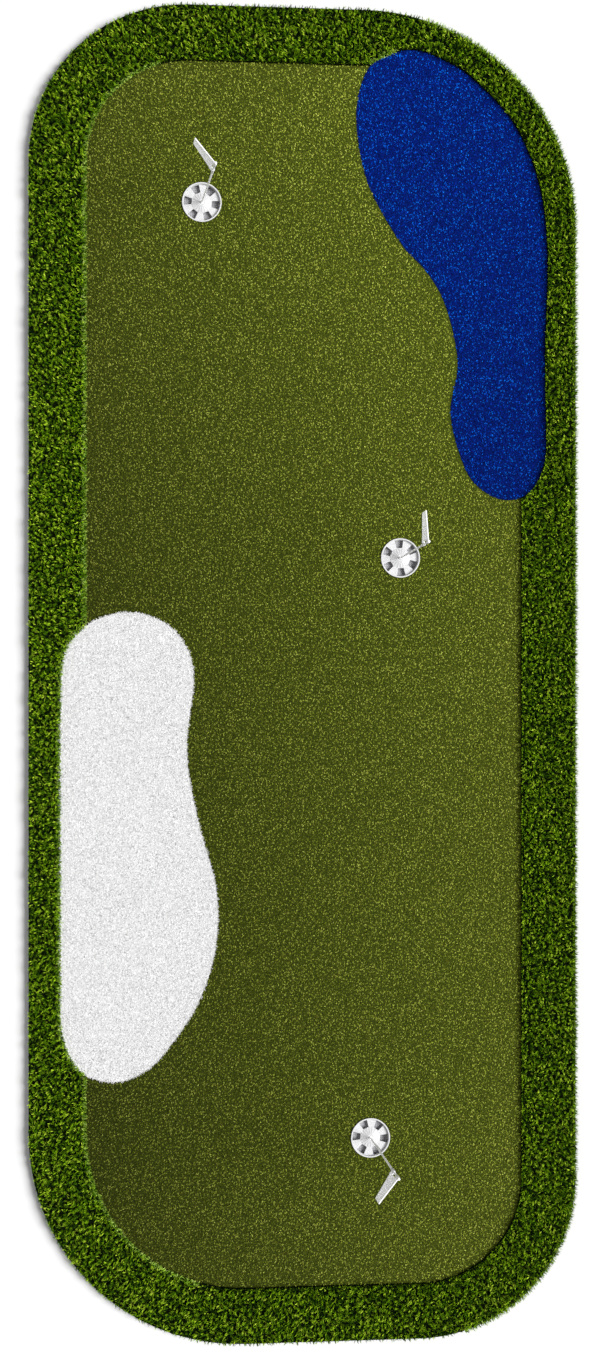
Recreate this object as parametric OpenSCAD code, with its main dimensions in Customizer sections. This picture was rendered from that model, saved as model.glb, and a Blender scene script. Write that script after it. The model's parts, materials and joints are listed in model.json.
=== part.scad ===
// Practice putting mat: layered turf on a foam pad, with three cups and flagsticks.
// Millimetres. +Z is up, +Y runs along the mat, and the origin is on the floor at the
// middle of the mat.

/* [Mat] */
// Length of the mat
mat_l = 3658; // [3560:1:3760]
// Width of the mat
mat_w = 1510; // [1480:1:1560]
// Radius of the far left and near right corners
corner_small = 438; // [400:1:470]
// Radius of the far right and near left corners
corner_large = 589; // [540:1:620]
// Width of the tall fringe around the green
fringe_w = 156; // [140:1:170]

/* [Layers] */
// Thickness of the non-slip sheet under the mat
base_t = 1.5; // [1:0.1:3]
// Thickness of the closed-cell foam pad
foam_t = 10; // [8:0.5:14]
// Thickness of the tufted backing under every turf
backing_t = 2.5; // [2:0.1:4]
// Pile height of the putting green
green_nap = 8; // [6:0.5:10]
// Pile height of the pond turf
pond_nap = 8; // [6:0.5:12]
// Pile height of the bunker turf
bunker_nap = 12; // [9:0.5:16]
// Pile height of the fringe turf
fringe_nap = 22; // [18:0.5:30]
// Width of the tape under each seam
tape_w = 70; // [50:1:90]
// Thickness of the seam tape
tape_t = 0.5; // [0.3:0.1:0.8]
// Gap left at each seam between two turfs
seam_gap = 1; // [0.5:0.1:2]
// Gap between two blocks of pile
block_gap = 0.6; // [0.4:0.1:1]

/* [Cups] */
// Outer diameter of a cup's rim
cup_d = 108; // [106:0.5:110]
// Thickness of the rim flange
flange_t = 2; // [1.5:0.1:2.5]
// Thickness of the cup's wall
cup_wall = 1.5; // [1.2:0.1:2.2]
// Depth from the rim to the cup's floor
cup_depth = 8; // [7:0.5:9]
// Thickness of the cup's floor
floor_t = 2; // [1.5:0.1:2.5]
// Windows in the cup's floor
window_count = 6; // [4:1:8]
// Ribs on the cup's hub
rib_count = 18; // [12:1:24]
// Diameter of the socket that holds a flagstick
socket_d = 10.4; // [10.2:0.1:11]

/* [Flagsticks] */
// Height of a flagstick above the cup's rim
stick_h = 365; // [300:1:420]
// Diameter of the pole
pole_d = 5; // [4.5:0.5:6]
// Diameter of the foot that stands in the socket
foot_d = 9; // [8.6:0.1:9.2]
// How far a flagstick leans in its loose socket, in degrees
lean = 3.4; // [0:0.1:3.6]

/* [Flags] */
// Reach of a flag from the pole's axis
flag_reach = 80; // [60:1:100]
// Height of a flag beside the pole
flag_root_h = 73; // [66:1:80]
// Height of a flag at its tip
flag_tip_h = 43; // [30:1:55]
// Thickness of a flag's panel
flag_t = 1.6; // [1.2:0.1:2.5]
// Height of the border above the panel on each side
border_t = 0.6; // [0.3:0.1:1]

/* [Hidden] */
// x, y, first window's angle, direction of the stick's lean, direction of the flag
HOLES = [
    [-284, 1288, -7, -14, 130],
    [262, 322, 34, 45, 94],
    [179, -1270, -5, -12, 231]
];

// Control points of the pond's and the bunker's edges, clockwise
POND = [
    [300, 1720], [392, 1690], [468, 1642], [580, 1523], [650, 1356], [673, 1164], [666, 904],
    [668, 698], [665, 590], [625, 507], [556, 484], [490, 511], [440, 575], [402, 720],
    [422, 863], [387, 1020], [333, 1113], [262, 1190], [170, 1356], [140, 1534], [168, 1657],
    [222, 1700]
];
BUNKER = [
    [-487, 170], [-400, 150], [-336, 94], [-306, -5], [-325, -205], [-294, -397],
    [-246, -575], [-246, -740], [-294, -893], [-389, -1032], [-453, -1084], [-523, -1104],
    [-594, -1086], [-641, -1034], [-665, -950], [-667, -849], [-667, -507], [-667, -123],
    [-655, 57], [-587, 140]
];
spline_steps = 7;
arc_steps = 22;

// Side in x, side in y, radius and first angle of each of the mat's corners, clockwise
CORNERS = [
    [-1, 1, corner_small, 180], [1, 1, corner_large, 90],
    [1, -1, corner_small, 0], [-1, -1, corner_large, 270]
];

// The pile's blocks: half the side of the square around a cup, the wedges in that square,
// y of more cuts across the green, side and y of cuts across the fringe, and sectors of a
// corner
cup_block = 100;
wedge_count = 8;
GREEN_CUTS = [96, -1030];
FRINGE_CUTS = [[-1, 110], [-1, -1080], [1, 520]];
sector_count = 3;

// Levels of the layers
foam_z = base_t;
backing_z = foam_z + foam_t;
pile_z = backing_z + backing_t;
rim_z = pile_z + green_nap;

// The sheets under the fringe stop a little short of it
base_inset = 7;
foam_inset = 5;
backing_inset = 3;

// Cup
cup_r = cup_d / 2;
flange_w = 2.2;
cup_play = 0.8;
cup_body_r = cup_r - flange_w;
cup_inner_r = cup_body_r - cup_wall;
hole_r = cup_body_r + cup_play;
seat_r = cup_r + cup_play;
rim_bevel = 0.6;
mouth_bevel = 0.8;
lip_w = 1;
lip_t = 1;
fit = 0.02;
window_in = 27.5;
window_out = cup_inner_r - lip_w - 0.1;
window_in_w = 16;
window_out_w = 25;
hub_r = 25;
hub_top_r = 9;
hub_drop = 2;
rib_w = 2;
rib_h = 1.2;
rib_sink = 1.5;
skirt_r = hub_r + rib_h + 0.6;
skirt_t = 0.8;
boss_r = 7.6;
boss_drop = 8;
boss_floor = 1.5;

// Flagstick, measured along its own axis from the middle of the socket
socket_bottom = cup_depth + floor_t + boss_drop - boss_floor;
pivot_drop = (hub_drop + socket_bottom) / 2;
pivot_z = rim_z - pivot_drop;
foot_l = 15;
foot_gap = 0.6;
foot_low = -(socket_bottom - pivot_drop) + foot_gap;
foot_web = 1.5;
stick_top = pivot_drop + stick_h;
cap_r = pole_d / 2 + 0.8;
cap_l = 6;
cap_bore = 4;
cap_round = 1.5;
collar_l = 3;
collar_gap = 0.3;

// Flag
cap_gap = 1;
flag_top = stick_top - cap_l - cap_gap;
sleeve_r = pole_d / 2 + 1.3;
sleeve_play = 0.08;
sleeve_bore_r = pole_d / 2 + sleeve_play;
slot_l = 29;
slot_out = 7;
border_w = 3;
panel_root = sleeve_r - 0.6;
heel_x = 10;
heel_end_x = 16;
heel_rise = 5;

// Colours
WHITE = [0.94, 0.94, 0.93];
GREY = [0.80, 0.81, 0.81];
GREEN = [0.30, 0.36, 0.11];
FRINGE = [0.18, 0.34, 0.08];
BLUE = [0.02, 0.16, 0.55];
BACKING = [0.42, 0.36, 0.25];
RUBBER = [0.60, 0.60, 0.61];
BLACK = [0.10, 0.10, 0.11];

$fn = 96;

// ---- Outlines ----

// Points of an arc, clockwise from angle a
function arc(cx, cy, r, a) =
    [for (i = [0 : arc_steps]) let (t = a - 90 * i / arc_steps) [cx + r * cos(t), cy + r * sin(t)]];

// Middle of a corner's arc
function corner_middle(c) = [c[0] * (mat_w / 2 - c[2]), c[1] * (mat_l / 2 - c[2])];

// The mat's edge moved inwards by inset, clockwise from the far left corner
function mat_edge(inset) =
    [for (c = CORNERS) let (m = corner_middle(c)) each arc(m[0], m[1], c[2] - inset, c[3])];

// A point on the closed smooth curve through the points p, at t between p[i] and p[i + 1]
function on_curve(p, i, t) =
    let (
        n = len(p),
        a = p[(i + n - 1) % n],
        b = p[i],
        c = p[(i + 1) % n],
        d = p[(i + 2) % n]
    )
    (2 * b + (c - a) * t + (2 * a - 5 * b + 4 * c - d) * t * t
        + (3 * b - a - 3 * c + d) * t * t * t) / 2;

function curve(p) =
    [for (i = [0 : len(p) - 1], k = [0 : spline_steps - 1]) on_curve(p, i, k / spline_steps)];

// A clockwise loop moved outwards by d
function grown(p, d) = [
    for (i = [0 : len(p) - 1])
        let (
            n = len(p),
            along = p[(i + 1) % n] - p[(i + n - 1) % n],
            out = [-along[1], along[0]] / norm(along)
        )
        p[i] + d * out
];

// ---- Flat shapes ----

module pond_shape(grow = 0) {
    polygon(grown(curve(POND), grow));
}

module bunker_shape(grow = 0) {
    polygon(grown(curve(BUNKER), grow));
}

module green_shape() {
    difference() {
        polygon(mat_edge(fringe_w + seam_gap / 2));
        pond_shape(seam_gap / 2);
        bunker_shape(seam_gap / 2);
    }
}

module fringe_shape(inset) {
    difference() {
        polygon(mat_edge(inset));
        polygon(mat_edge(fringe_w - seam_gap / 2));
        pond_shape(seam_gap / 2);
        bunker_shape(seam_gap / 2);
    }
}

// Gaps between the blocks of the fringe's pile
module fringe_slots() {
    for (c = CORNERS)
        translate(corner_middle(c))
            for (i = [0 : sector_count])
                rotate(c[3] - 90 * i / sector_count)
                    translate([c[2] - fringe_w / 2, 0])
                        square([fringe_w + 2, block_gap], center = true);
    for (cut = FRINGE_CUTS)
        translate([cut[0] * (mat_w - fringe_w) / 2, cut[1]])
            square([fringe_w + 2, block_gap], center = true);
}

// Gaps between the blocks of the green's pile, with wedges around each cup
module green_slots() {
    turn = 180 / wedge_count;
    for (y = GREEN_CUTS)
        translate([0, y]) square([mat_w, block_gap], center = true);
    for (hole = HOLES) {
        for (side = [-1, 1]) {
            translate([0, hole[1] + side * cup_block])
                square([mat_w, block_gap], center = true);
            translate([hole[0] + side * cup_block, hole[1]])
                square([block_gap, 2 * cup_block], center = true);
        }
        for (i = [0 : wedge_count - 1])
            translate([hole[0], hole[1]])
                rotate(turn + 360 * i / wedge_count)
                    translate([0, -block_gap / 2])
                        square([cup_block / cos(turn), block_gap]);
    }
}

module green_tape_shape() {
    difference() {
        polygon(mat_edge(fringe_w - tape_w / 2));
        polygon(mat_edge(fringe_w + tape_w / 2));
        pond_shape(tape_w / 2 + seam_gap);
        bunker_shape(tape_w / 2 + seam_gap);
    }
}

module pond_tape_shape() {
    difference() {
        pond_shape(tape_w / 2);
        pond_shape(-tape_w / 2);
    }
}

module bunker_tape_shape() {
    difference() {
        bunker_shape(tape_w / 2);
        bunker_shape(-tape_w / 2);
    }
}

// The three cups' bores
module cup_bores(r, z, h) {
    for (hole = HOLES)
        translate([hole[0], hole[1], z]) cylinder(r = r, h = h);
}

// ---- Mat ----

module slab(z, t) {
    translate([0, 0, z]) linear_extrude(height = t) children();
}

module base_sheet() {
    color(RUBBER) slab(0, base_t) polygon(mat_edge(base_inset));
}

module foam_pad() {
    color(GREY) difference() {
        slab(foam_z, foam_t) polygon(mat_edge(foam_inset));
        cup_bores(hole_r, foam_z - 1, foam_t + 2);
        slab(backing_z - tape_t, 1) green_tape_shape();
        slab(backing_z - tape_t, 1) pond_tape_shape();
        slab(backing_z - tape_t, 1) bunker_tape_shape();
    }
}

module seam_tape_green() {
    color(BLACK) slab(backing_z - tape_t, tape_t) green_tape_shape();
}

module seam_tape_pond() {
    color(BLACK) slab(backing_z - tape_t, tape_t) pond_tape_shape();
}

module seam_tape_bunker() {
    color(BLACK) slab(backing_z - tape_t, tape_t) bunker_tape_shape();
}

module fringe_backing() {
    color(BACKING) slab(backing_z, backing_t) fringe_shape(backing_inset);
}

module green_backing() {
    color(BACKING) difference() {
        slab(backing_z, backing_t) green_shape();
        cup_bores(hole_r, backing_z - 1, backing_t + 2);
    }
}

module pond_backing() {
    color(BACKING) slab(backing_z, backing_t) pond_shape(-seam_gap / 2);
}

module bunker_backing() {
    color(BACKING) slab(backing_z, backing_t) bunker_shape(-seam_gap / 2);
}

module fringe_pile() {
    color(FRINGE) slab(pile_z, fringe_nap) difference() {
        fringe_shape(0);
        fringe_slots();
    }
}

module green_pile() {
    color(GREEN) difference() {
        slab(pile_z, green_nap) difference() {
            green_shape();
            green_slots();
        }
        cup_bores(hole_r, pile_z - 1, green_nap + 2);
        cup_bores(seat_r, rim_z - flange_t, flange_t + 1);
    }
}

module pond_pile() {
    color(BLUE) slab(pile_z, pond_nap) pond_shape(-seam_gap / 2);
}

module bunker_pile() {
    color(WHITE) slab(pile_z, bunker_nap) bunker_shape(-seam_gap / 2);
}

// ---- Cups, with the rim's top at z = 0 ----

module window_cut() {
    half_in = window_in_w / 2;
    half_out = window_out_w / 2;
    intersection() {
        translate([0, 0, -cup_depth - floor_t - 1])
            linear_extrude(height = floor_t + 2)
                polygon([
                    [window_in, -half_in], [window_out + 1, -half_out],
                    [window_out + 1, half_out], [window_in, half_in]
                ]);
        translate([0, 0, -cup_depth - floor_t - 2])
            cylinder(r = window_out, h = floor_t + 4);
    }
}

module at_hole(hole) {
    translate([hole[0], hole[1], rim_z]) rotate(hole[2]) children();
}

// The rim, the wall and the lip under the floor, as one turned profile
module cup_rim(hole) {
    floor_low = -cup_depth - floor_t;
    low = floor_low - lip_t;
    color(WHITE) at_hole(hole) rotate_extrude()
        polygon([
            [cup_inner_r - lip_w, low], [cup_body_r, low], [cup_body_r, -flange_t],
            [cup_r, -flange_t], [cup_r, -rim_bevel], [cup_r - rim_bevel, 0],
            [cup_inner_r + mouth_bevel, 0], [cup_inner_r, -mouth_bevel],
            [cup_inner_r, floor_low], [cup_inner_r - lip_w, floor_low]
        ]);
}

// The floor that drops into the rim's wall, with its windows
module cup_floor(hole) {
    low = -cup_depth - floor_t;
    color(WHITE) at_hole(hole) difference() {
        translate([0, 0, low]) cylinder(r = cup_inner_r - fit, h = floor_t);
        translate([0, 0, low - 1]) cylinder(r = boss_r + fit, h = floor_t + 2);
        for (i = [0 : window_count - 1])
            rotate(i * 360 / window_count) window_cut();
    }
}

module hub_rib() {
    inner = hub_top_r - rib_sink;
    outer = hub_r + rib_h;
    low = -cup_depth + skirt_t;
    rotate([90, 0, 0])
        linear_extrude(height = rib_w, center = true)
            polygon([
                [inner, low - skirt_t / 2], [inner, -hub_drop - rib_sink],
                [hub_top_r - rib_w / 4, -hub_drop + rib_h / 2],
                [outer, low + rib_h / 2], [outer, low - skirt_t / 2]
            ]);
}

// The ribbed cone on the floor, with the socket in the boss below it
module cup_hub(hole) {
    low = -cup_depth - floor_t - boss_drop;
    color(WHITE) at_hole(hole) difference() {
        union() {
            rotate_extrude()
                polygon([
                    [0, low], [boss_r, low], [boss_r, -cup_depth], [skirt_r, -cup_depth],
                    [skirt_r, -cup_depth + skirt_t], [hub_r, -cup_depth + skirt_t],
                    [hub_top_r, -hub_drop], [0, -hub_drop]
                ]);
            for (i = [0 : rib_count - 1])
                rotate(i * 360 / rib_count) hub_rib();
        }
        translate([0, 0, -socket_bottom])
            cylinder(d = socket_d, h = socket_bottom + 1);
    }
}

// ---- Flagsticks and flags, along a leaning axis ----

module on_stick(hole) {
    translate([hole[0], hole[1], pivot_z])
        rotate(hole[3])
            rotate([0, lean, 0])
                rotate(-hole[3])
                    children();
}

module stick_foot(hole) {
    color(WHITE) on_stick(hole) difference() {
        translate([0, 0, foot_low]) cylinder(d = foot_d, h = foot_l);
        translate([0, 0, foot_low + foot_web])
            cylinder(r = pole_d / 2 + fit, h = foot_l);
    }
}

module pole(hole) {
    low = foot_low + foot_web + fit;
    color(WHITE) on_stick(hole) {
        translate([0, 0, low])
            cylinder(d = pole_d, h = stick_top - cap_l + cap_bore - fit - low);
        translate([0, 0, flag_top - flag_root_h - collar_gap - collar_l])
            cylinder(r = sleeve_r, h = collar_l);
    }
}

module pole_cap(hole) {
    color(WHITE) on_stick(hole)
        translate([0, 0, stick_top - cap_l])
            rotate_extrude()
                polygon([
                    [pole_d / 2 + fit, 0], [cap_r, 0], [cap_r, cap_l - cap_round],
                    [cap_r - cap_round / 3, cap_l - cap_round / 3],
                    [cap_r - cap_round, cap_l], [0, cap_l],
                    [0, cap_bore], [pole_d / 2 + fit, cap_bore]
                ]);
}

// The flag's outline beside the pole, moved inwards by inset
module flag_outline(inset) {
    root = panel_root + inset;
    tip = flag_reach - inset;
    low = -flag_root_h + inset;
    polygon([
        [root, -inset], [tip, -inset], [tip, -flag_tip_h + inset],
        [heel_end_x + inset, low + heel_rise], [heel_x + inset / 2, low], [root, low]
    ]);
}

module flag_plate(outer, t) {
    rotate([90, 0, 0])
        linear_extrude(height = t, center = true)
            flag_outline(outer);
}

module flag_border(t) {
    rotate([90, 0, 0])
        linear_extrude(height = t, center = true)
            difference() {
                flag_outline(0);
                flag_outline(border_w);
            }
}

module flag(hole) {
    mid = -flag_root_h / 2;
    color(GREY) on_stick(hole)
        rotate(hole[4])
            translate([0, 0, flag_top])
                difference() {
                    union() {
                        flag_plate(0, flag_t);
                        flag_border(flag_t + 2 * border_t);
                        translate([0, 0, -flag_root_h])
                            cylinder(r = sleeve_r, h = flag_root_h);
                    }
                    translate([0, 0, -flag_root_h - 1])
                        cylinder(r = sleeve_bore_r, h = flag_root_h + 2);
                    translate([-sleeve_r - 1, -sleeve_r - 1, mid - slot_l / 2])
                        cube([sleeve_r + 1 + slot_out, 2 * sleeve_r + 2, slot_l]);
                }
}

module cup_rim_1() { cup_rim(HOLES[0]); }
module cup_floor_1() { cup_floor(HOLES[0]); }
module cup_hub_1() { cup_hub(HOLES[0]); }
module cup_rim_2() { cup_rim(HOLES[1]); }
module cup_floor_2() { cup_floor(HOLES[1]); }
module cup_hub_2() { cup_hub(HOLES[1]); }
module cup_rim_3() { cup_rim(HOLES[2]); }
module cup_floor_3() { cup_floor(HOLES[2]); }
module cup_hub_3() { cup_hub(HOLES[2]); }
module stick_foot_1() { stick_foot(HOLES[0]); }
module stick_foot_2() { stick_foot(HOLES[1]); }
module stick_foot_3() { stick_foot(HOLES[2]); }
module pole_1() { pole(HOLES[0]); }
module pole_2() { pole(HOLES[1]); }
module pole_3() { pole(HOLES[2]); }
module pole_cap_1() { pole_cap(HOLES[0]); }
module pole_cap_2() { pole_cap(HOLES[1]); }
module pole_cap_3() { pole_cap(HOLES[2]); }
module flag_1() { flag(HOLES[0]); }
module flag_2() { flag(HOLES[1]); }
module flag_3() { flag(HOLES[2]); }

base_sheet();
foam_pad();
seam_tape_green();
seam_tape_pond();
seam_tape_bunker();
fringe_backing();
green_backing();
pond_backing();
bunker_backing();
fringe_pile();
green_pile();
pond_pile();
bunker_pile();
cup_rim_1();
cup_floor_1();
cup_hub_1();
stick_foot_1();
pole_1();
pole_cap_1();
flag_1();
cup_rim_2();
cup_floor_2();
cup_hub_2();
stick_foot_2();
pole_2();
pole_cap_2();
flag_2();
cup_rim_3();
cup_floor_3();
cup_hub_3();
stick_foot_3();
pole_3();
pole_cap_3();
flag_3();
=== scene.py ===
import json
import math

import bmesh
import bpy
import numpy as np
from mathutils import Matrix, Vector


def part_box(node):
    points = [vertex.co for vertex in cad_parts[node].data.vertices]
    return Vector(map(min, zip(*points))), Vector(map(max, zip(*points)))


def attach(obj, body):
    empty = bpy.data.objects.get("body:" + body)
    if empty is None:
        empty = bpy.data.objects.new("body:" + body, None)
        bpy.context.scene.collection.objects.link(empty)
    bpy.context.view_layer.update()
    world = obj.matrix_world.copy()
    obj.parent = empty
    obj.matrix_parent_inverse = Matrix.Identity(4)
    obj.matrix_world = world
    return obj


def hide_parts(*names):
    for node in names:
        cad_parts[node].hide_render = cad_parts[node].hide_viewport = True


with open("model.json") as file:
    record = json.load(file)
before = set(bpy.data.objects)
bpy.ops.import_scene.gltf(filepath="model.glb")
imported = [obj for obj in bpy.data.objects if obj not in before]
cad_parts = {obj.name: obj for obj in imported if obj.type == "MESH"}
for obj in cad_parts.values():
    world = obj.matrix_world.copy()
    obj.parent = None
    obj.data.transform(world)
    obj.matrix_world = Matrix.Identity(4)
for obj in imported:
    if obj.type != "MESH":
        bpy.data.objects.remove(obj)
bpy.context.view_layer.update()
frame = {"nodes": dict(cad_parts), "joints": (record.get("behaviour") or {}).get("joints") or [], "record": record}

nodes = frame["nodes"]
record = frame["record"]
MM = 0.001

ROW_PITCH = 0.87  # of a triangular grid, as a share of the pitch along a row
JITTER = 0.75  # how far a tuft strays in its cell, as a share of the pitch
THATCH_RELIEF = 3 * MM
THATCH_DROP = 4.5 * MM  # from the top of a short turf down to its dense yarn


# ---- Meshes ----

def link(name, mesh, body, slot, *replaced):
    """A piece made of a mesh, riding on a body; slot is not used."""
    piece = bpy.data.objects.new(name, mesh)
    bpy.context.scene.collection.objects.link(piece)
    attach(piece, body)
    if replaced:
        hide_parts(*replaced)
    return piece


def corners(mesh):
    co = np.empty(len(mesh.vertices) * 3)
    mesh.vertices.foreach_get("co", co)
    return co.reshape(-1, 3)


def top_edges(node):
    """The directed edges round a node's top face, with the face on their left: (n, 2, 2)."""
    mesh = nodes[node].data
    mesh.calc_loop_triangles()
    tri = np.empty(len(mesh.loop_triangles) * 3, int)
    mesh.loop_triangles.foreach_get("vertices", tri)
    co = corners(mesh)[tri].reshape(-1, 3, 3)
    co = co[(co[:, :, 2] > co[:, :, 2].max() - 1e-5).all(1)][:, :, :2]
    turn = np.cross(co[:, 1] - co[:, 0], co[:, 2] - co[:, 0]) < 0
    co[turn] = co[turn][:, ::-1]
    sides = np.concatenate([co[:, [0, 1]], co[:, [1, 2]], co[:, [2, 0]]])
    keys = np.round(sides * 1e5).astype(int).reshape(-1, 4)
    seen = {tuple(k) for k in keys}
    outer = [(k[2], k[3], k[0], k[1]) not in seen for k in map(tuple, keys)]
    return sides[np.array(outer)]


def inside(points, edges):
    """Which points are inside the loops, by counting the edges that each one's ray crosses."""
    result = np.zeros(len(points), bool)
    a, b = edges[:, 0], edges[:, 1]
    for some in np.array_split(np.arange(len(points)), max(1, len(points) // 20000)):
        x, y = points[some, 0:1], points[some, 1:2]
        across = (a[:, 1] > y) != (b[:, 1] > y)
        rise = np.where(b[:, 1] == a[:, 1], 1, b[:, 1] - a[:, 1])
        at = a[:, 0] + (y - a[:, 1]) / rise * (b[:, 0] - a[:, 0])
        result[some] = (across & (x < at)).sum(1) % 2 == 1
    return result


def to_edge(points, edges):
    """Each point's distance to the nearest edge, and that edge's outward direction."""
    a, along = edges[:, 0], edges[:, 1] - edges[:, 0]
    size = (along ** 2).sum(1)
    out = np.stack([along[:, 1], -along[:, 0]], 1) / np.sqrt(size)[:, None]
    gap, normal = np.empty(len(points)), np.empty((len(points), 2))
    for some in np.array_split(np.arange(len(points)), max(1, len(points) // 5000)):
        off = points[some, None] - a
        t = np.clip((off * along).sum(2) / size, 0, 1)
        far = ((off - t[..., None] * along) ** 2).sum(2)
        best = far.argmin(1)
        gap[some] = np.sqrt(far[np.arange(len(some)), best])
        normal[some] = out[best]
    return gap, normal


def scatter(edges, pitch, rng):
    """Points on a loose triangular grid inside the loops."""
    low, high = edges.min((0, 1)), edges.max((0, 1))
    rows = int((high[1] - low[1]) / (pitch * ROW_PITCH)) + 2
    cols = int((high[0] - low[0]) / pitch) + 2
    j, i = np.mgrid[:rows, :cols]
    grid = np.stack([low[0] + (i + 0.5 * (j % 2)) * pitch, low[1] + j * pitch * ROW_PITCH], -1)
    grid = grid.reshape(-1, 2) + rng.uniform(-0.5, 0.5, (rows * cols, 2)) * pitch * JITTER
    return grid[inside(grid, edges)]


def ribbons(name, slot, root, heading, lean, bend, curl, length, width, tint, steps, material):
    """One piece of flat turf blades, each bending over from its root to a pointed tip."""
    n = len(root)
    t = np.linspace(0, 1, steps + 1)
    angle = lean[:, None] + bend[:, None] * t
    way = heading[:, None] + curl[:, None] * t
    mid, turn = (angle[:, 1:] + angle[:, :-1]) / 2, (way[:, 1:] + way[:, :-1]) / 2
    step = (length / steps)[:, None]
    go = np.stack([np.sin(mid) * np.cos(turn), np.sin(mid) * np.sin(turn), np.cos(mid)], -1)
    go = np.concatenate([np.zeros((n, 1, 3)), np.cumsum(go * step[..., None], 1)], 1)
    centre = root[:, None] + go
    half = width[:, None] / 2 * (1 - 0.35 * t)
    side = np.stack([-np.sin(way), np.cos(way), np.zeros_like(way)], -1) * half[..., None]
    pairs = np.stack([centre - side, centre + side], 2)[:, :-1].reshape(n, -1, 3)
    co = np.concatenate([pairs, centre[:, -1:]], 1)
    per = co.shape[1]
    faces = []
    for k in range(steps - 1):
        faces += [(2 * k, 2 * k + 1, 2 * k + 3), (2 * k, 2 * k + 3, 2 * k + 2)]
    faces.append((per - 3, per - 2, per - 1))
    faces = (np.arange(n)[:, None, None] * per + np.array(faces)).reshape(-1, 3)
    rise = np.concatenate([np.repeat(t[:-1], 2), [1.0]])
    mesh = bpy.data.meshes.new(name)
    mesh.vertices.add(n * per)
    mesh.vertices.foreach_set("co", co.ravel())
    mesh.loops.add(faces.size)
    mesh.loops.foreach_set("vertex_index", faces.ravel())
    mesh.polygons.add(len(faces))
    mesh.polygons.foreach_set("loop_start", np.arange(len(faces)) * 3)
    mesh.polygons.foreach_set("use_smooth", np.ones(len(faces), bool))
    mesh.update(calc_edges=True)
    for key, values in (("tint", np.repeat(tint, per)), ("rise", np.tile(rise, n))):
        mesh.attributes.new(key, "FLOAT", "POINT").data.foreach_set("value", values)
    flat = co.reshape(-1, 3)[faces.ravel(), :2]
    flat = (flat - flat.min(0)) / (flat.max(0) - flat.min(0)).max()
    mesh.uv_layers.new(name="OFBake").uv.foreach_set("vector", flat.ravel())
    mesh.materials.append(material)
    return link(name, mesh, "mat", slot)


def held_in(tuft, gap, out, allowance):
    """Stands a tuft up where it would reach further past its turf's edge than it may."""
    across = np.cos(tuft["heading"]) * out[:, 0] + np.sin(tuft["heading"]) * out[:, 1]
    reach = tuft["length"] * np.sin(np.minimum(tuft["lean"] + tuft["bend"] / 2, math.pi / 2))
    allowed = (gap + allowance) / np.maximum(reach * across, 1e-6)
    share = np.where(across > 0, np.clip(allowed, 0.12, 1), 1)
    tuft["lean"] *= share
    tuft["bend"] *= share


def tufts(name, slot, edges, z, pitch, count, lean, bend, length, width, steps, material,
          parts=1, spread=0.25, clump=0.6, nap=0.0, allowance=0.0, where=None, bare=None):
    """Tufts of blades over an area, in parts one after another along Y. A tuft's blades stand
    side by side and bend over together; nap is the share of tufts that lie across the mat.
    where picks a band along the edge, whose tufts fall outwards, and bare a band left out."""
    at = scatter(edges, pitch, rng)
    gap, out = to_edge(at, edges)
    kept = where(at, gap, out) if where else np.ones(len(at), bool)
    if bare:
        kept &= ~bare(at, gap, out)
    at, gap, out = at[kept], gap[kept], out[kept]
    n = len(at)
    if where:
        heading = np.arctan2(out[:, 1], out[:, 0]) + rng.normal(0, 0.45, n)
    else:
        napped = rng.normal(0, 0.6, n) + np.where(rng.random(n) < 0.5, 0, math.pi)
        heading = np.where(rng.random(n) < nap, napped, rng.uniform(-math.pi, math.pi, n))
    tuft = dict(
        heading=heading,
        lean=rng.uniform(*lean, n),
        bend=rng.uniform(*bend, n),
        curl=rng.normal(0, 0.3, n),
        length=rng.uniform(*length, n),
        width=rng.uniform(*width, n),
        tint=rng.beta(1.1, 1.3, n),
    )
    held_in(tuft, gap, out, allowance)
    k = np.repeat(np.arange(n), count)
    m = len(k)
    place = np.tile(np.arange(count) - (count - 1) / 2, n) * clump * tuft["width"][k]
    side = tuft["heading"][k] + math.pi / 2
    foot = at[k] + np.stack([np.cos(side), np.sin(side)], 1) * place[:, None]
    foot += rng.normal(0, 0.07 * pitch, (m, 2))
    values = dict(
        root=np.concatenate([foot, np.full((m, 1), z)], 1),
        heading=tuft["heading"][k] + rng.normal(0, spread, m),
        lean=tuft["lean"][k] * rng.uniform(0.75, 1.25, m),
        bend=tuft["bend"][k] * rng.uniform(0.8, 1.2, m),
        curl=tuft["curl"][k] + rng.normal(0, spread, m),
        length=tuft["length"][k] * rng.uniform(0.86, 1.1, m),
        width=tuft["width"][k] * rng.uniform(0.8, 1.1, m),
        tint=np.clip(tuft["tint"][k] + rng.uniform(-0.1, 0.1, m), 0, 1),
    )
    bounds = np.quantile(foot[:, 1], np.linspace(0, 1, parts + 1))
    bounds[0] -= 1
    bounds[-1] += 1
    made = []
    for part in range(parts):
        mine = (foot[:, 1] >= bounds[part]) & (foot[:, 1] < bounds[part + 1])
        label = f"{name}_{part + 1}" if parts > 1 else name
        made.append(ribbons(label, slot, steps=steps, material=material,
                            **{key: v[mine] for key, v in values.items()}))
    return made


def relevelled(node, low, high, name, slot, *replaced):
    """A copy of a CAD slab between two other levels."""
    mesh = nodes[node].data.copy()
    mesh.name = name
    mesh.materials.clear()
    co = corners(mesh)
    z0, z1 = co[:, 2].min(), co[:, 2].max()
    co[:, 2] = np.where(co[:, 2] > (z0 + z1) / 2, high, low)
    mesh.vertices.foreach_set("co", co.ravel())
    mesh.update()
    return link(name, mesh, "mat", slot, *replaced)


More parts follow.
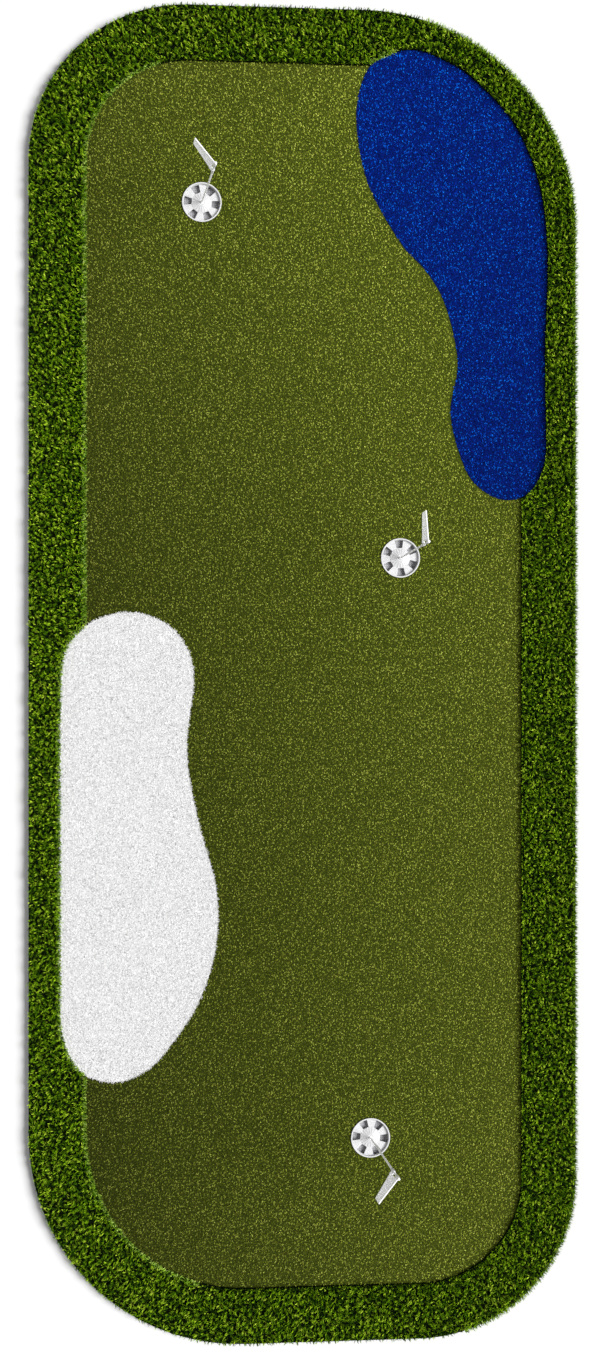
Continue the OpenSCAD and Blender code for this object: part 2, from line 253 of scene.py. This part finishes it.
def softened(node, name, slot, radius, material, body="mat"):
    """A copy of a CAD node with its flat faces joined up and its edges rounded."""
    mesh = nodes[node].data.copy()
    mesh.name = name
    mesh.materials.clear()
    mesh.materials.append(material)
    form = bmesh.new()
    form.from_mesh(mesh)
    bmesh.ops.remove_doubles(form, verts=form.verts, dist=1e-6)
    bmesh.ops.dissolve_limit(form, angle_limit=math.radians(0.5), verts=form.verts,
                             edges=form.edges)
    sharp = [e for e in form.edges if e.calc_face_angle(0) > math.radians(30)]
    bmesh.ops.bevel(form, geom=sharp, offset=radius, segments=3, profile=0.5,
                    affect="EDGES", clamp_overlap=True)
    bmesh.ops.triangulate(form, faces=form.faces)
    for face in form.faces:
        face.smooth = True
    form.to_mesh(mesh)
    form.free()
    mesh.set_sharp_from_angle(angle=math.radians(40))
    return link(name, mesh, body, slot, node)


# ---- Materials ----

class Shader:
    """A node material built around one Principled shader."""

    def __init__(self, name, **values):
        self.material = bpy.data.materials.new(name)
        self.material.use_nodes = True
        self.tree = self.material.node_tree
        self.bsdf = self.tree.nodes["Principled BSDF"]
        for key, value in values.items():
            self.bsdf.inputs[key.replace("_", " ")].default_value = value

    def node(self, kind, inputs=(), **settings):
        made = self.tree.nodes.new("ShaderNode" + kind)
        for key, value in settings.items():
            setattr(made, key, value)
        for key, value in dict(inputs).items():
            if isinstance(value, bpy.types.NodeSocket):
                self.tree.links.new(value, made.inputs[key])
            else:
                made.inputs[key].default_value = value
        return made

    def attribute(self, name):
        return self.node("Attribute", attribute_name=name).outputs["Fac"]

    def place(self):
        return self.node("TexCoord").outputs["Object"]

    def math(self, operation, a, b=0.0, c=0.0, clamp=False):
        return self.node("Math", {0: a, 1: b, 2: c}, operation=operation,
                         use_clamp=clamp).outputs[0]

    def noise(self, scale, detail=2.0, rough=0.5):
        return self.node("TexNoise", {"Vector": self.place(), "Scale": scale, "Detail": detail,
                                      "Roughness": rough}).outputs["Fac"]

    def ramp(self, value, stops):
        made = self.node("ValToRGB", {"Fac": value})
        line = made.color_ramp.elements
        while len(line) < len(stops):
            line.new(0.5)
        for element, (at, colour) in zip(line, stops):
            element.position = at
            element.color = (*colour, 1)
        return made.outputs["Color"]

    def mix(self, share, a, b, blend="MIX"):
        made = self.node("Mix", data_type="RGBA", blend_type=blend, clamp_factor=True)
        for key, value in ((0, share), (6, a), (7, b)):
            if isinstance(value, bpy.types.NodeSocket):
                self.tree.links.new(value, made.inputs[key])
            else:
                made.inputs[key].default_value = value if key == 0 else (*value, 1)
        return made.outputs[2]

    def cells(self, scale):
        return self.node("TexVoronoi", {"Vector": self.place(),
                                        "Scale": scale}).outputs["Distance"]

    def rows(self, direction, spacing):
        """Stripes across a direction, from 0 to 1, with a spacing in metres."""
        return self.node("TexWave", {"Vector": self.place(), "Scale": math.pi / 10 / spacing},
                         bands_direction=direction).outputs["Fac"]

    def scaled(self, colour, by):
        return self.node("VectorMath", {0: colour, "Scale": by}, operation="SCALE").outputs[0]

    def bump(self, height, distance):
        made = self.node("Bump", {"Height": height, "Distance": distance, "Strength": 1.0})
        self.tree.links.new(made.outputs[0], self.bsdf.inputs["Normal"])

    def colour(self, value):
        self.tree.links.new(value, self.bsdf.inputs["Base Color"])

    def roughness(self, value):
        self.tree.links.new(value, self.bsdf.inputs["Roughness"])


def rgb(r, g, b):
    """A linear colour from a screen colour of 0 to 255."""
    return tuple(c / 3294.6 if c < 10.31 else ((c / 255 + 0.055) / 1.055) ** 2.4
                 for c in (r, g, b))


def scaled(colour, by):
    return tuple(c * by for c in colour)


def blade_material(name, stops, root, middle, tip, finish=None):
    """Turf yarn: each blade has its tint, with painted shade darkening it towards its root and a painted highlight
    brightening its tip.
    """
    s = Shader(name, Specular_IOR_Level=0.04)
    colour = s.ramp(s.attribute("tint"), stops)
    if finish:
        colour = finish(s, colour)
    # painted shade towards the root and painted highlight at the tip, along the blade's rise
    depth = s.ramp(s.attribute("rise"), [(0.0, (root,) * 3), (0.45, (middle,) * 3),
                                         (0.85, (1, 1, 1)), (1.0, (tip,) * 3)])
    s.colour(s.mix(1.0, colour, depth, "MULTIPLY"))
    s.roughness(s.math("MULTIPLY_ADD", s.noise(260), 0.3, 0.5))
    return s.material


def thatch_material(name, dark, light, scale, finish=None):
    """The dense yarn between the standing blades, coloured darker as painted shade in the gaps between them."""
    s = Shader(name, Roughness=0.9, Specular_IOR_Level=0.05)
    fine = s.noise(scale, 3, 0.7)
    colour = s.ramp(fine, [(0.36, dark), (0.62, light)])
    if finish:
        colour = finish(s, colour)
    s.colour(colour)
    s.bump(fine, THATCH_RELIEF)
    return s.material


def green_flecks_and_painted_light(s, colour):
    """The green has brownish flecks, and a painted light falloff makes it paler towards its right side and its far
    end.
    """
    flecks = s.math("MULTIPLY", s.math("SUBTRACT", s.noise(150), 0.6, clamp=True), 2.0)
    colour = s.mix(flecks, colour, rgb(104, 92, 30))
    xyz = s.node("SeparateXYZ", {0: s.place()})
    x, y = xyz.outputs["X"], xyz.outputs["Y"]
    # painted light falloff: brighter towards +X and +Y
    painted_falloff = s.math("MULTIPLY_ADD", x, 0.55, 0.95)
    painted_falloff = s.math("MULTIPLY_ADD", y, 0.15, painted_falloff)
    painted_falloff = s.math("MULTIPLY_ADD", s.math("MULTIPLY", y, y), 0.075, painted_falloff)
    return s.scaled(colour, painted_falloff)


def pond_painted_shade(s, colour):
    """Painted shade: the pond is a little deeper in colour towards its near end."""
    y = s.node("SeparateXYZ", {0: s.place()}).outputs["Y"]
    return s.scaled(colour, s.math("MULTIPLY_ADD", y, 0.18, 0.86))


rng = np.random.default_rng(7)

green_blade = blade_material(
    "green_yarn", [(0.05, rgb(70, 80, 14)), (0.35, rgb(114, 125, 36)), (0.7, rgb(143, 153, 54)),
                   (0.98, rgb(166, 174, 78))], 0.35, 0.8, 1.1, green_flecks_and_painted_light)
green_thatch = thatch_material(
    "green_thatch", rgb(24, 30, 5), rgb(60, 69, 14), 330, green_flecks_and_painted_light)
fringe_blade = blade_material(
    "fringe_yarn", [(0.05, rgb(30, 63, 3)), (0.4, rgb(86, 130, 8)), (0.75, rgb(144, 187, 20)),
                    (0.98, rgb(202, 232, 66))], 0.03, 0.3, 1.25)
# Paler yarn for the fringe's left seam and right outer edge: a painted highlight.
painted_highlight_blade = blade_material(
    "painted_highlight_yarn", [(0.05, rgb(96, 144, 20)), (0.5, rgb(168, 212, 70)),
                  (0.98, rgb(224, 248, 130))], 0.1, 0.6, 1.15)
# Near-black thatch: painted shade deep between the fringe's tufts.
fringe_thatch = thatch_material("fringe_thatch", rgb(1, 4, 0), rgb(10, 20, 2), 200)
pond_blade = blade_material(
    "pond_yarn", [(0.05, rgb(0, 12, 84)), (0.5, rgb(0, 50, 170)), (0.98, rgb(6, 116, 238))],
    0.3, 0.7, 1.1, pond_painted_shade)
pond_thatch = thatch_material("pond_thatch", rgb(0, 6, 44), rgb(0, 24, 100), 330, pond_painted_shade)
bunker_blade = blade_material(
    "bunker_yarn", [(0.1, rgb(198, 198, 198)), (0.9, rgb(231, 231, 231))], 0.75, 0.9, 1.05)
bunker_thatch = thatch_material("bunker_thatch", rgb(164, 164, 164), rgb(210, 210, 210), 300)


# ---- Turf ----

fringe_edges = top_edges("fringe_backing")
green_edges = top_edges("green_backing")
pond_edges = top_edges("pond_backing")
bunker_edges = top_edges("bunker_backing")
pile_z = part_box("green_backing")[1].z
green_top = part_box("green_pile")[1].z
pond_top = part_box("pond_pile")[1].z
bunker_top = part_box("bunker_pile")[1].z

thatches = {}
for turf, top, material in (
    ("fringe", pile_z + 5 * MM, fringe_thatch),
    ("green", green_top - THATCH_DROP, green_thatch),
    ("pond", pond_top - THATCH_DROP, pond_thatch),
    ("bunker", bunker_top - THATCH_DROP, bunker_thatch),
):
    thatches[turf] = relevelled(f"{turf}_backing", pile_z, top, f"{turf}_thatch",
                                f"{turf}_turf", f"{turf}_pile")
    thatches[turf].data.materials.append(material)


def left_seam(at, gap, out):
    """The fringe beside the green on the left, where the yarn falls over the seam and is coloured paler as a
    painted highlight.
    """
    return ((at * out).sum(1) < 0) & (out[:, 0] > 0.3) & (gap < 15 * MM)


def other_seams(at, gap, out):
    """The fringe beside the other turfs, apart from the left side."""
    return ((at * out).sum(1) < 0) & (out[:, 0] <= 0.3) & (gap < 6 * MM)


def right_seam(at, gap, out):
    """The green and the pond beside the fringe on the right, where the seam lies open and the bare thatch,
    darkened as painted shade, makes a dark line.
    """
    return (at[:, 0] > 0.3) & (out[:, 0] > 0.5) & (gap < 5 * MM)


def right_side(at, gap, out):
    """The fringe's outer edge on the right, where the blades are coloured paler as a painted highlight."""
    return ((at * out).sum(1) > 0) & (out[:, 0] > 0.3) & (gap < 11 * MM)


def rim(at, gap, out):
    return gap < 8 * MM


fringe = dict(slot="fringe_turf", edges=fringe_edges, z=pile_z + 3 * MM, steps=3)
bunker = dict(slot="bunker_turf", edges=bunker_edges, z=bunker_top - 7 * MM, steps=2,
              material=bunker_blade, spread=0.8)
short = dict(pitch=5.7 * MM, count=2, lean=(0.3, 0.85), bend=(0.3, 0.9), bare=right_seam,
             length=(6 * MM, 8 * MM), width=(1.7 * MM, 2.4 * MM), steps=2)
piles = {
    "fringe": tufts(
        "fringe_blades", pitch=5.7 * MM, count=3, lean=(0.03, 0.32), bend=(0.35, 0.95),
        length=(17 * MM, 22 * MM), width=(1.2 * MM, 1.8 * MM), parts=4, nap=0.4,
        allowance=1.5 * MM, material=fringe_blade, **fringe),
    "green": tufts(
        "green_blades", "green_turf", green_edges, green_top - 6 * MM, material=green_blade,
        parts=4, allowance=1 * MM, **short),
    "pond": tufts(
        "pond_blades", "pond_turf", pond_edges, pond_top - 6 * MM, material=pond_blade,
        allowance=1 * MM, **short),
    "bunker": tufts(
        "bunker_blades", pitch=6 * MM, count=3, lean=(0.2, 0.9), bend=(0.3, 1.1),
        length=(6 * MM, 9.5 * MM), width=(1.2 * MM, 2.0 * MM), allowance=2 * MM, **bunker),
}
piles["fringe"] += tufts(
    "fringe_seam_blades", pitch=5.4 * MM, count=2, lean=(0.45, 0.85), bend=(0.2, 0.7),
    length=(14 * MM, 21 * MM), width=(1.8 * MM, 2.8 * MM), allowance=5 * MM,
    where=left_seam, material=painted_highlight_blade, **fringe)
piles["fringe"] += tufts(
    "fringe_lip_blades", pitch=5 * MM, count=2, lean=(0.1, 0.35), bend=(0.2, 0.6),
    length=(17 * MM, 21 * MM), width=(1.3 * MM, 2.0 * MM), allowance=3 * MM,
    where=other_seams, material=fringe_blade, **fringe)
piles["fringe"] += tufts(
    "fringe_side_blades", pitch=4.5 * MM, count=2, lean=(0.2, 0.5), bend=(0.2, 0.5),
    length=(14 * MM, 19 * MM), width=(1.2 * MM, 1.9 * MM), allowance=7 * MM,
    where=right_side, material=painted_highlight_blade, **fringe)
piles["bunker"] += tufts(
    "bunker_rim_blades", pitch=4 * MM, count=2, lean=(0.5, 1.0), bend=(0.3, 0.8),
    length=(7 * MM, 10 * MM), width=(1.2 * MM, 2.0 * MM), allowance=6 * MM, where=rim, **bunker)


# ---- Layers under the turf ----

def backing_material():
    """Woven backing with its rows of stitches, coated with latex."""
    s = Shader("latex_backing", Roughness=0.85, Specular_IOR_Level=0.2)
    rows = s.rows("X", 4.8 * MM)
    weave = s.math("MULTIPLY", s.rows("Y", 1.6 * MM), 0.4)
    height = s.math("ADD", s.math("ADD", rows, weave), s.noise(500, 3))
    s.colour(s.ramp(s.math("MULTIPLY", height, 0.5),
                    [(0.25, rgb(84, 69, 42)), (0.85, rgb(128, 109, 72))]))
    s.bump(height, 0.6 * MM)
    return s.material


def foam_material():
    """Closed-cell foam with fine pores."""
    s = Shader("foam_cells", Roughness=0.95, Specular_IOR_Level=0.15)
    pores = s.math("ADD", s.cells(900), s.math("MULTIPLY", s.noise(240, 3), 0.6))
    s.colour(s.ramp(pores, [(0.35, rgb(88, 89, 91)), (0.8, rgb(132, 133, 136))]))
    s.bump(pores, 0.5 * MM)
    return s.material


def grip_material():
    """Rubber sheet with a raised waffle that grips the floor."""
    s = Shader("grip_sheet", Roughness=0.8, Specular_IOR_Level=0.3)
    waffle = s.math("MULTIPLY", s.rows("X", 5 * MM), s.rows("Y", 5 * MM))
    height = s.math("ADD", waffle, s.math("MULTIPLY", s.noise(600, 2), 0.25))
    s.colour(s.ramp(height, [(0.1, rgb(140, 140, 143)), (0.9, rgb(184, 184, 186))]))
    s.bump(height, 0.5 * MM)
    return s.material


def tape_material():
    """Black woven seam tape."""
    s = Shader("seam_tape", Roughness=0.8, Specular_IOR_Level=0.2)
    weave = s.math("MULTIPLY", s.rows("X", 1.2 * MM), s.rows("Y", 1.2 * MM))
    s.colour(s.ramp(s.math("ADD", weave, s.noise(300)), [(0.3, rgb(18, 18, 20)),
                                                         (1.0, rgb(48, 48, 52))]))
    s.bump(weave, 0.2 * MM)
    return s.material


def area(edges):
    """The area inside directed loops."""
    a, b = edges[:, 0], edges[:, 1]
    return float((a[:, 0] * b[:, 1] - a[:, 1] * b[:, 0]).sum() / 2)


backing = backing_material()
foam = softened("foam_pad", "foam_layer", "foam", 1.2 * MM, foam_material())
base = softened("base_sheet", "grip_layer", "base_sheet", 0.4 * MM, grip_material())
area(top_edges("base_sheet"))

tape = tape_material()
for node in ("seam_tape_green", "seam_tape_pond", "seam_tape_bunker"):
    nodes[node].data.materials.clear()
    nodes[node].data.materials.append(tape)

for turf, edges in (("fringe", fringe_edges), ("green", green_edges), ("pond", pond_edges),
                    ("bunker", bunker_edges)):
    layer = softened(f"{turf}_backing", f"{turf}_layer", "turf_backing", 0.5 * MM, backing)


# ---- Cups, poles and flags ----

def plastic_material(name, colour, rough, through, depth, edge=None):
    """Moulded plastic with faint orange peel, which light passes through as far as depth;
    edge is the paler colour of a flag's raised border, a painted highlight."""
    s = Shader(name, Specular_IOR_Level=0.4, Subsurface_Weight=through,
               Subsurface_Radius=(1, 1, 1), Subsurface_Scale=depth)
    peel = s.noise(900, 2)
    body = s.ramp(peel, [(0.3, scaled(colour, 0.97)), (0.7, colour)])
    # painted highlight: the raised border is paler than the panel
    if edge:
        body = s.mix(s.attribute("border"), body, edge)
    s.colour(body)
    s.roughness(s.math("MULTIPLY_ADD", s.noise(60, 3), 0.16, rough - 0.08))
    s.bump(peel, 0.04 * MM)
    return s.material


cup_plastic = plastic_material("cup_plastic", rgb(188, 188, 189), 0.4, 0.3, 4 * MM)
pole_plastic = plastic_material("pole_plastic", rgb(252, 252, 252), 0.3, 0.8, 3 * MM)
# The flag's panel is greyer than its border, whose paler colour is a painted highlight.
flag_plastic = plastic_material("flag_plastic", rgb(222, 222, 225), 0.42, 0.8, 6 * MM,
                                rgb(251, 251, 251))

for part in record["subparts"]:
    finish = {"cup_plastic": cup_plastic, "pole_plastic": pole_plastic}.get(
        part["material_slot"])
    if finish:
        mesh = nodes[part["node"]].data
        mesh.materials.clear()
        mesh.materials.append(finish)


def flag(joint):
    """A flag with rounded edges, which knows its raised border from its thinner panel, to lay the painted
    highlight on the border.
    """
    node = body = joint["child"]
    piece = softened(node, node + "_cloth", "flag_plastic", 0.35 * MM, flag_plastic, body)
    co = corners(piece.data) - np.array(joint["pos_m"])
    axis = np.array(joint["axis"])
    out = co - (co @ axis)[:, None] * axis
    reach = out[np.linalg.norm(out, axis=1).argmax()]
    normal = np.cross(axis, reach) / np.linalg.norm(reach)
    thick = np.abs(co @ normal)
    panel = thick[np.linalg.norm(out, axis=1) > 0.5 * np.linalg.norm(reach)].max()
    border = np.clip((thick - 0.72 * panel) / (0.1 * panel), 0, 1)
    piece.data.attributes.new("border", "FLOAT", "POINT").data.foreach_set("value", border)


for joint in frame["joints"]:
    if joint["name"].startswith("flag_swivel"):
        flag(joint)


# ---- Floor, light and camera ----

def floor():
    mesh = bpy.data.meshes.new("floor")
    far = 40
    mesh.from_pydata([(-far, -far, 0), (far, -far, 0), (far, far, 0), (-far, far, 0)], [],
                     [(0, 1, 2, 3)])
    piece = bpy.data.objects.new("floor", mesh)
    bpy.context.scene.collection.objects.link(piece)
    s = Shader("floor", Roughness=0.9, Base_Color=(0.57, 0.57, 0.57, 1))
    mesh.materials.append(s.material)


def lamp(name, direction, energy, spread):
    """A soft, distant light that comes from a direction."""
    light = bpy.data.lights.new(name, "SUN")
    light.energy = energy
    light.angle = math.radians(spread)
    lamp = bpy.data.objects.new(name, light)
    lamp.rotation_euler = Vector(direction).to_track_quat("Z", "Y").to_euler()
    bpy.context.scene.collection.objects.link(lamp)


def camera(eye, aim, lens, shift):
    """A camera with +Y up in its picture."""
    ahead = (aim - eye).normalized()
    right = ahead.cross(Vector((0, 1, 0))).normalized()
    turn = Matrix((right, right.cross(ahead), -ahead)).transposed().to_4x4()
    made = bpy.data.objects.new("camera", bpy.data.cameras.new("camera"))
    made.matrix_world = Matrix.Translation(eye) @ turn
    made.data.lens = lens
    made.data.shift_x = shift
    made.data.clip_end = 200
    bpy.context.scene.collection.objects.link(made)
    bpy.context.scene.camera = made


floor()
lamp("key", (1.0, -0.07, 1.13), 5.95, 34)
lamp("fill", (-1.0, -0.2, 0.8), 0.85, 90)
camera(Vector((-0.45, -0.008, 4.53)), Vector((-0.098, -0.008, 0.03)), 43.96, 0.022)

world = bpy.data.worlds.new("studio")
bpy.context.scene.world = world
world.use_nodes = True
sky = world.node_tree.nodes["Background"].inputs
sky["Color"].default_value = (1, 1, 1, 1)
sky["Strength"].default_value = 0.24

bpy.context.scene.view_settings.view_transform = "Standard"
